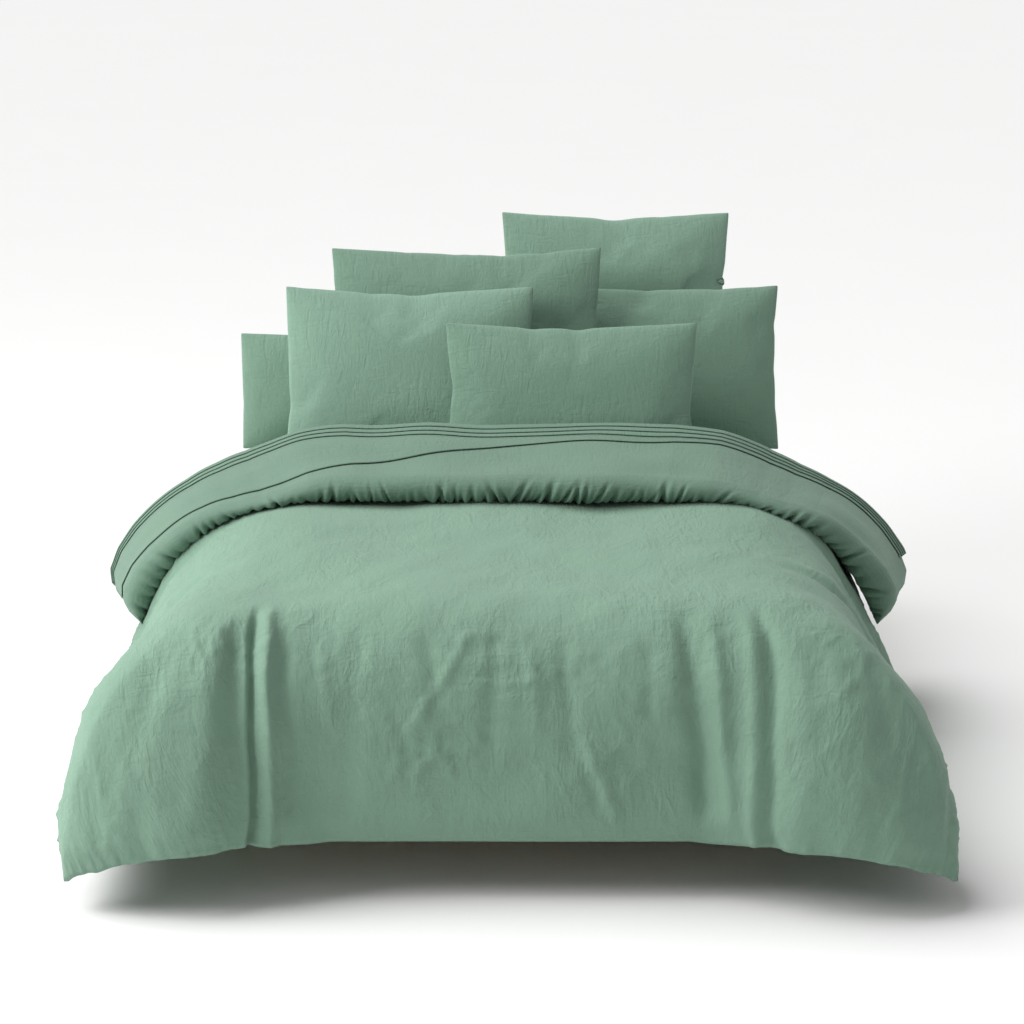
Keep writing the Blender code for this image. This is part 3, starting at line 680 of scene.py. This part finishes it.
def folds(across, along):
    """How far the duvet stands proud of its plain drape: its hanging folds and soft hollows."""
    side, foot, past = past_crown(across, along)
    total = clouds(across, along, 0.45, 3) * 0.0040 + clouds(across, along, 0.15, 5) * 0.0010
    crumple = creases(across, along, 0.13, 7) * 0.0040 + creases(across * 1.5, along, 0.075, 9) * 0.0026
    crumple = crumple * (0.55 + 0.45 * clouds(across, along, 0.30, 12))
    total = total + crumple * step((past - 0.16) / 0.22)
    waffle = np.sin(2 * np.pi * (along + 0.10 * across) / 0.042 + 1.5 * clouds(across, along, 0.2, 10))
    at_waffle = hill(across + 0.03, 0.16) * step((foot - 0.30) / 0.06) * step((0.66 - foot) / 0.12)
    total = total + waffle * 0.0018 * at_waffle
    sway = clouds(across, along, 0.21, 11) * 0.003
    total = total + hanging(across, foot, FOOT_FOLDS, sway)
    total = total + hanging(along, side, SIDE_FOLDS, sway)
    turn = np.arctan2(foot, np.maximum(side, 1e-6)) / (np.pi / 2)
    for place, width, depth in CORNER_FOLDS:
        total = total - depth * hill(turn - place, width) * step((past - 0.35) / 0.3) * (side > 0)
    # its right flank lies closer to the bed, and so does the left one lower down
    closer = step((across - 0.75) / 0.2) * step((past - 0.25) / 0.25) * step((0.85 - foot) / 0.35)
    closer = closer + 0.5 * step((-0.85 - across) / 0.2) * step((foot - 0.45) / 0.25)
    total = total - 0.018 * closer
    pucker = wander(across, (0.047, 0.071, 0.029), 17) * hill(along - FOOT_HEM, 0.05)
    pucker = pucker + 0.4 * wander(along, (0.061, 0.083), 19) * hill(SIDE_HEM - abs(across), 0.05)
    return total + pucker * 0.0020


def hem_height(across, along):
    """The duvet's face draws in to the seam along its hems, and the buttoned hem hangs calmly."""
    from_hem = np.minimum(SIDE_HEM - abs(across), along - FOOT_HEM)
    buttoned = hill(along - FOOT_HEM - 0.02, 0.055) * (1 - step((abs(across) - 0.52) / 0.10))
    return folds(across, along) * (1 - 0.88 * buttoned) - 0.011 * (1 - step(from_hem / 0.06))


def make_duvet():
    by_crease = even(-0.735, -0.525, 0.005)
    columns = [even(-SIDE_HEM, -0.745, 0.0105), by_crease, even(-0.515, SIDE_HEM, 0.0105)]
    bm = panel(np.concatenate(columns), even(FOOT_HEM, FOLD_Y, 0.0105))
    put(bm.verts, drape(*flat_places(bm)))

    def lining(across, along):
        return body_thickness(across, along) - hem_height(across, along)

    thicken(bm, hem_height, lining)
    duvet = finished(bm, "duvet", crushed_cotton)
    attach(duvet, "duvet")
    inside = ("duvet_insert_body", "cover_tie_foot_left", "cover_tie_foot_right")
    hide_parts("duvet_cover_body", *inside)


make_duvet()


# ---- The turned-down end: the same duvet, folded back on itself. It lies as a fat roll, rounded at
# the fold and at its free edge, and gathered along the seam where the insert stops.
ROLL_FRONT = FREE_EDGE_Y - 0.028
ROLL_NOSE = 0.050
ROLL_GAP = 0.0025  # between the roll's underside and the duvet
SECTION_STEP = 0.0135  # cloth from one point of its section to the next


def roll_size(across):
    """How thick it is: full, drawn thin over the mattress's edges, and fat where it hangs free."""
    off_middle = [0, 0.44, 0.56, 0.63, 0.69, 0.76, 0.84, 0.92, 1.00, 1.07, 1.13, 1.165, 1.185, 1.20]
    thick = [0.071, 0.068, 0.058, 0.045, 0.038, 0.041, 0.056, 0.080, 0.104, 0.118, 0.116, 0.096, 0.066, 0.016]
    return np.interp(abs(across), off_middle, thick) + 0.002 * wander(across, (0.61, 0.37), 21)


def ahead_of_fold(along):
    return np.clip((FOLD_Y - along) / (FOLD_Y - ROLL_FRONT), 0, 1)


def narrowed(across, along):
    """Its side hems slant in towards the free edge."""
    return across * (1 - 0.105 * ahead_of_fold(along))


def roll_top(across, along):
    """How high the roll's top is over the body, apart from its nose."""
    hanging_end = step((abs(across) - 0.80) / 0.20)
    lift = 0.007 * step((along - ROLL_FRONT) / 0.4)
    swells = clouds(across, along, 0.30, 29) * 0.0022 * step((along - ROLL_FRONT) / 0.1)
    return roll_size(across) * (1 - 0.30 * ahead_of_fold(along) * hanging_end) + lift + swells


def gathers():
    """Each gather's place along the seam, its width, depth, reach from the seam, and slant."""
    places = np.random.default_rng(23)
    at = -TURN_DOWN_HALF
    while at < TURN_DOWN_HALF - 0.03:
        at += 0.016 + 0.032 * places.random()
        strong = places.random() ** 1.6
        reach = 0.040 + 0.030 * places.random() + 0.050 * strong
        slant = 0.15 + 0.5 * places.random() * np.sign(at)
        yield at, 0.0040 + 0.0040 * places.random(), 0.004 + 0.011 * strong, reach, slant


def blend_at_fold(piece):
    """It bends with the duvet where the duvet is folded."""
    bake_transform(piece, "duvet", "turn_down", (0, FOLD_Y + 0.02, 0.70), (0, FOLD_Y - 0.12, 0.70))


def make_turn_down():
    # one section runs from the fold along the underside, round the nose and back over the top
    under = [(1 - t, 0, 0.0) for t in np.linspace(0, 1, 8)]
    nose = [(0, 1, a) for a in np.linspace(-np.pi / 2, np.pi / 2, 26)[1:-1]]
    over = [(t, 2, 0.0) for t in np.linspace(0, 1, 26)]
    back = [(1, 3, a) for a in np.linspace(np.pi / 2, -np.pi / 2, 9)[1:]]
    section = np.array(under + nose + over + back)
    bm = panel(even(-TURN_DOWN_HALF, TURN_DOWN_HALF, 0.0052), np.arange(len(section)) * SECTION_STEP)
    across, along = flat_places(bm)
    share, kind, angle = section[np.rint(along / SECTION_STEP).astype(int)].T
    front = ROLL_FRONT + 0.010 * (1 - step((TURN_DOWN_HALF - abs(across)) / 0.3))
    front = front + 0.005 * wander(across, (0.47, 0.29), 25)
    run = FOLD_Y - 0.006 - front - ROLL_NOSE
    y = front + ROLL_NOSE + share * run
    top = np.where(kind == 0, 0.0, roll_top(across, y))
    y = np.where(kind == 1, front + ROLL_NOSE * (1 - np.cos(angle)), y)
    height = np.where(kind == 0, ROLL_GAP, top)
    rounded = ROLL_GAP + (top - ROLL_GAP) * (0.5 + 0.5 * np.sin(angle))
    height = np.where(kind == 1, rounded, height)
    y = np.where(kind == 3, y + 0.020 * np.cos(angle), y)
    height = np.where(kind == 3, rounded, height)
    up = np.where(kind == 1, np.sin(angle), (kind == 2) * 1.0)
    ahead = np.where(kind == 1, -np.cos(angle), 0)
    from_seam = np.where(kind == 1, (angle + 0.9) * 0.045, np.where(kind == 2, 0.111 + share * run, 9.0))
    dent = 0 * across
    for at, width, depth, reach, slant in gathers():
        line = across - at - slant * from_seam
        fade = (1 - step(from_seam / reach)) * step((from_seam + 0.03) / 0.03)
        dent = dent + depth * fade * hill(line, width * (0.8 + 0.8 * from_seam / reach))
        dent = dent - depth * 0.45 * fade * hill(abs(line) - width * 2.1, width * 1.1)
    dent = np.where(from_seam < 0.3, dent, 0)
    across = narrowed(across, y)
    normal = facing(across, y)
    points = drape(across, y) + normal * (height - dent * up)[:, None]
    points[:, 1] -= dent * ahead
    put(bm.verts, points)
    bmesh.ops.remove_doubles(bm, verts=bm.verts, dist=0.00002)
    bmesh.ops.holes_fill(bm, edges=[e for e in bm.edges if e.is_boundary], sides=0)
    bmesh.ops.recalc_face_normals(bm, faces=bm.faces)
    # its cotton is the darker copy of the sage: painted shade on the roll
    turn_down = finished(bm, "duvet_turned_down", cotton("sage_cotton_painted_shade", SAGE_PAINTED_SHADE))
    inside = ("duvet_insert_turn_down", "cover_tie_head_left", "cover_tie_head_right")
    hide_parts("duvet_cover_turn_down", *inside)
    blend_at_fold(turn_down)


make_turn_down()


# ---- The flat sheet: under the duvet, and turned back over its fold. Its spare length lies in three
# narrow pleats against the pillows, and ahead of them a smooth band ends in a drawn-thread hem.
SHEET_LEFT, SHEET_RIGHT = -1.165, 1.085
PLEATS = (0.024, 0.054, 0.084)  # from the fold to each pleat's front
PLEAT_DEPTH = 0.022
PLEAT_STACK = 0.0034  # each pleat's height
LINEN = 0.0016


def sheet_reach(across):
    """How far forward of the fold the hem lies: a long way on the left, less on the right."""
    places = [-1.17, -1.0, -0.84, -0.66, -0.5, -0.36, -0.23, -0.025, 0.14, 0.29, 0.55, 0.82, 1.015, 1.09]
    reach = [0.330, 0.362, 0.372, 0.362, 0.345, 0.305, 0.252, 0.172, 0.138, 0.124, 0.118, 0.098, 0.078, 0.070]
    near = [np.interp(across + off, places, reach) for off in even(-0.12, 0.12, 0.03)]
    return np.mean(near, axis=0)


def hemmed_cotton():
    """The darker copy of the cotton, painted shade, with a row of drawn-thread stitches along the hem."""
    return cotton("sage_cotton_hem_painted_shade", SAGE_PAINTED_SHADE, hem=True)


def make_sheet():
    """One section: from the hem back over the roll, three pleats, round the fold and under."""
    # (share of the way from the hem to the first pleat, or metres from the fold), layer, kind
    path = [(t, 0.0, 0) for t in np.linspace(0, 1, 26)]
    for i, front in enumerate(PLEATS[::-1]):
        behind = front - PLEAT_DEPTH
        path += [(front - 0.004, i, 1), (behind + 0.004, i + 0.10, 1), (behind, i + 0.35, 1)]
        path += [(behind + 0.004, i + 0.60, 1), (front - 0.004, i + 0.62, 1)]
        path += [(front, i + 0.80, 1), (front - 0.003, i + 1.0, 1)]
    path += [(PLEATS[0] - 0.014, 3.0, 1), (PLEATS[0] - 0.024, 3.0, 1)]
    path += [(a, 3.0, 2) for a in np.linspace(0, np.pi, 14)]
    path += [(0.0, 0.0, 3), (0.03, 0.0, 3), (0.06, 0.0, 3), (0.10, 0.0, 3)]
    path = np.array(path)
    bm = panel(even(SHEET_LEFT, SHEET_RIGHT, 0.0125), np.arange(len(path)) * 1.0)
    across, row = flat_places(bm)
    where, layer, kind = path[np.rint(row).astype(int)].T
    reach = sheet_reach(across)
    fan = 1 - 0.40 * step((abs(across) - 0.50) / 0.5) + 0.05 * wander(across, (0.9, 0.6), 33)
    pleat_front = PLEATS[-1] * fan
    back_of = np.where(kind == 0, reach + (pleat_front - 0.004 - reach) * where, where * fan)
    y = FOLD_Y - np.where(kind <= 1, back_of, 0.0)
    y = np.where(kind == 3, FOLD_Y - where, y)
    hem = np.where(kind == 0, (1 - where) * reach, 1.0)
    rolled = 0.0012 * (hem < 0.026) - 0.0006 * hill(hem - 0.026, 0.003)
    lying = roll_top(across, y) + 0.0018 + 0.0017 * step(hem / 0.05) + rolled
    stack = PLEAT_STACK * layer
    deep = body_thickness(across, FOLD_Y + 0 * across) + 0.004
    height = np.where(kind <= 1, lying + stack, -deep)
    top = roll_top(across, FOLD_Y + 0 * across) + 0.0035 + 3 * PLEAT_STACK
    rounding = (top - deep) / 2 + (top + deep) / 2 * np.cos(where)
    height = np.where(kind == 2, rounding, height)
    bulge = np.where(kind == 2, 0.026 * np.sin(where), 0) + np.where(kind == 2, 0.006, 0)
    across = narrowed(across, y)
    points = drape(across, y) + facing(across, y) * height[:, None]
    points[:, 1] += bulge
    put(bm.verts, points)
    along = bm.verts.layers.float["along"]
    for v, i, from_hem in zip(bm.verts, row, hem):
        v[along] = from_hem if from_hem < 0.9 else 0.3 + 0.012 * i
    bmesh.ops.recalc_face_normals(bm, faces=bm.faces)
    sheet = finished(bm, "flat_sheet_band", hemmed_cotton())
    wall = sheet.modifiers.new("cloth", "SOLIDIFY")
    wall.thickness = LINEN
    wall.offset = 0
    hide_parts("flat_sheet_turn_down")
    blend_at_fold(sheet)


make_sheet()


def make_under_sheet():
    """The rest of it, between the duvet and the fitted sheet."""
    half, foot = SHEET_RIGHT, CROWN_FOOT_Y - 0.45
    bm = panel(even(-half, half, 0.03), even(foot, FOLD_Y - 0.08, 0.03))
    at = flat_places(bm)
    deep = body_thickness(*at) + 0.0030 + 0.0008 * clouds(*at, 0.2, 39)
    put(bm.verts, drape(*at) - facing(*at) * deep[:, None])
    sheet = finished(bm, "flat_sheet_under", sage_cotton)
    wall = sheet.modifiers.new("cloth", "SOLIDIFY")
    wall.thickness = LINEN
    wall.offset = -1
    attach(sheet, "duvet")
    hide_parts("flat_sheet_body")


make_under_sheet()


# ---- The cover's buttons: six four-hole shell buttons, sewn on under the foot hem.
def shell():
    pearl = Finish("button_pearl", (0.55, 0.62, 0.56), 0.25, Coat_Weight=0.5, Coat_Roughness=0.15)
    where = pearl.add("ShaderNodeTexCoord", {}).out("Object")
    cloud = pearl.noise(where, 160.0, 3, 1.5)
    pearl.set("Base Color", pearl.mix(cloud, (0.46, 0.55, 0.49), (0.70, 0.74, 0.68)))
    pearl.set("Roughness", (0.18 + cloud * 0.2).clamped())
    pearl.set("Normal", pearl.relief(cloud, 0.0002))
    return pearl.material


def make_buttons():
    finish = shell()
    for i in range(6):
        node = f"cover_button_{i + 1}"
        low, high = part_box(node)
        at = np.array((low + high).x / 2), np.array(FOOT_HEM + 0.0275)
        away = -Vector(facing(*at))
        lining = float(body_thickness(*at) - hem_height(*at))
        middle = Vector(drape(*at)) + away * (lining + 0.0014)
        bm = bmesh.new()
        bmesh.ops.create_circle(bm, cap_ends=True, segments=32, radius=0.0065)
        top = bmesh.ops.extrude_face_region(bm, geom=bm.faces[:])["geom"]
        raised = [v for v in top if isinstance(v, bmesh.types.BMVert)]
        bmesh.ops.translate(bm, vec=(0, 0, 0.0028), verts=raised)
        top = [f for f in top if isinstance(f, bmesh.types.BMFace)]
        bmesh.ops.inset_region(bm, faces=top, thickness=0.0014, depth=0)
        bmesh.ops.inset_region(bm, faces=top, thickness=0.0006, depth=-0.0009)
        bmesh.ops.recalc_face_normals(bm, faces=bm.faces)
        stitch = {"segments": 10, "radius1": 0.0007, "radius2": 0.0007, "depth": 0.0004}
        for turn in range(4):
            place = Matrix.Rotation(turn * math.pi / 2, 4, "Z")
            place = place @ Matrix.Translation((0.0013, 0.0013, 0.0020))
            bmesh.ops.create_cone(bm, cap_ends=True, matrix=place, **stitch)
        turned = away.to_track_quat("Z", "Y").to_matrix().to_4x4()
        sewn_on = Matrix.Translation(middle - away * 0.0014) @ turned
        bmesh.ops.transform(bm, matrix=sewn_on, verts=bm.verts)
        mesh = bpy.data.meshes.new("button")
        bm.to_mesh(mesh)
        bm.free()
        mesh.materials.append(finish)
        button = bpy.data.objects.new(f"shell_button_{i + 1}", mesh)
        made.collection.objects.link(button)
        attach(button, "duvet")
        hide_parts(node)


make_buttons()


# ---- The pillows: each a fibre filling in a plain cotton case, two panels sewn at their edges. The
# filling's push is simulated on the flat case, which draws its sides in and leaves pointed corners.
PILLOW_LEAN = math.radians(21)
SEAM_ALLOWANCE = 1.03
FILLING_PUSH = 4.0
SIMULATED_FRAMES = 22
SEAM_HOLD = 0.80
FIBRE_SHARE = 0.65
# width, height and thickness
PILLOWS = {
    "euro_right": (0.65, 0.64, 0.115),
    "back_left": (0.70, 0.33, 0.115),
    "back_right": (0.70, 0.46, 0.115),
    "tall_left": (0.75, 0.59, 0.115),
    "middle_left": (0.68, 0.51, 0.115),
    "front": (0.68, 0.44, 0.105),
}


def flat_case(width, height, seed):
    """Two panels with one sewn edge, flat but for a little unevenness."""
    bm = panel(even(-width / 2, width / 2, 0.0135), even(-height / 2, height / 2, 0.0135))
    across, along = flat_places(bm)
    edge = np.minimum(width / 2 - abs(across), height / 2 - abs(along))
    uneven = 1 + 0.25 * clouds(across, along, 0.20, seed)
    rise = 0.020 * step(edge / 0.12) * uneven
    bm.normal_update()
    other = bmesh.ops.duplicate(bm, geom=bm.verts[:] + bm.edges[:] + bm.faces[:])["geom"]
    far = [g for g in other if isinstance(g, bmesh.types.BMVert)]
    near = bm.verts[: len(rise)]
    put(near, np.stack([across, -rise, along], -1))
    put(far, np.stack([across, rise * 0.9, along], -1))
    bmesh.ops.reverse_faces(bm, faces=[g for g in other if isinstance(g, bmesh.types.BMFace)])
    bmesh.ops.remove_doubles(bm, verts=bm.verts, dist=0.0005)
    bmesh.ops.recalc_face_normals(bm, faces=bm.faces)
    return bm


def blow_up(piece, push, frames):
    """Runs the cloth with its filling's push, and keeps the shape that it comes to."""
    cloth = piece.modifiers.new("cloth", "CLOTH")
    cloth.settings.quality = 5
    cloth.settings.mass = 0.25
    cloth.settings.tension_stiffness = cloth.settings.compression_stiffness = 25
    cloth.settings.shear_stiffness = 12
    cloth.settings.bending_stiffness = 0.35
    cloth.settings.air_damping = 3
    cloth.settings.use_pressure = True
    cloth.settings.uniform_pressure_force = push
    cloth.settings.effector_weights.gravity = 0
    cloth.collision_settings.use_collision = False
    cloth.point_cache.frame_start, cloth.point_cache.frame_end = 1, frames
    for frame_number in range(1, frames + 1):
        made.frame_set(frame_number)
    shape = piece.evaluated_get(bpy.context.evaluated_depsgraph_get())
    points = np.array([v.co for v in shape.data.vertices])
    piece.modifiers.clear()
    made.frame_set(1)
    return points


# the lighter copy of the sage: painted light for two of the pillows
painted_light_cotton = cotton("sage_cotton_painted_light", SAGE_PAINTED_LIGHT)


def make_pillow(name, seed):
    width, height, thickness = PILLOWS[name]
    # the euro and middle left pillows take the lighter copy: painted light
    finish = painted_light_cotton if name in ("euro_right", "middle_left") else sage_cotton
    case = flat_case(width * SEAM_ALLOWANCE, height * SEAM_ALLOWANCE, seed)
    piece = finished(case, "pillow_case_" + name, finish)
    points = np.array([v.co for v in piece.data.vertices])
    flat = points.copy()
    points = blow_up(piece, FILLING_PUSH, SIMULATED_FRAMES)
    # the doubled cloth at the seam holds the outline, which is drawn in only a little
    firm = np.clip(abs(flat) / (np.array([width, 1, height]) * 0.515), 0, 1).max(1)[:, None] ** 2
    points[:, ::2] += (flat - points)[:, ::2] * SEAM_HOLD * firm
    # and the fibre evens out the dents
    u, v = np.clip(abs(flat[:, ::2]) / (np.array([width, height]) * 0.515), 0, 1).T
    even_fill = np.sign(points[:, 1]) * ((1 - u**3.5) * (1 - v**3.5)) ** 0.7
    even_fill = even_fill * abs(points[:, 1]).max()
    points[:, 1] = points[:, 1] * (1 - FIBRE_SHARE) + even_fill * FIBRE_SHARE
    reach = abs(points).max(0)
    full = np.array([width / 2 * 1.01, thickness / 2 - 0.0015, height / 2 * 1.03])
    points = points * full / reach
    low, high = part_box("pillowcase_" + name)
    lean = Matrix.Rotation(-PILLOW_LEAN, 3, "X")
    middle = np.array((low + high) / 2) + np.array([0, 0, 0.009])
    points = points @ np.array(lean).T + middle
    bed_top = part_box("fitted_sheet")[1].z + 0.0015
    points[:, 2] = np.maximum(points[:, 2], bed_top)
    for v, point in zip(piece.data.vertices, points):
        v.co = point
    smooth = piece.modifiers.new("smooth", "SUBSURF")
    smooth.levels = smooth.render_levels = 1
    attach(piece, "pillow_body_" + name)
    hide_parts("pillowcase_" + name, "pillow_" + name)


for order, pillow in enumerate(PILLOWS):
    make_pillow(pillow, 51 + order)
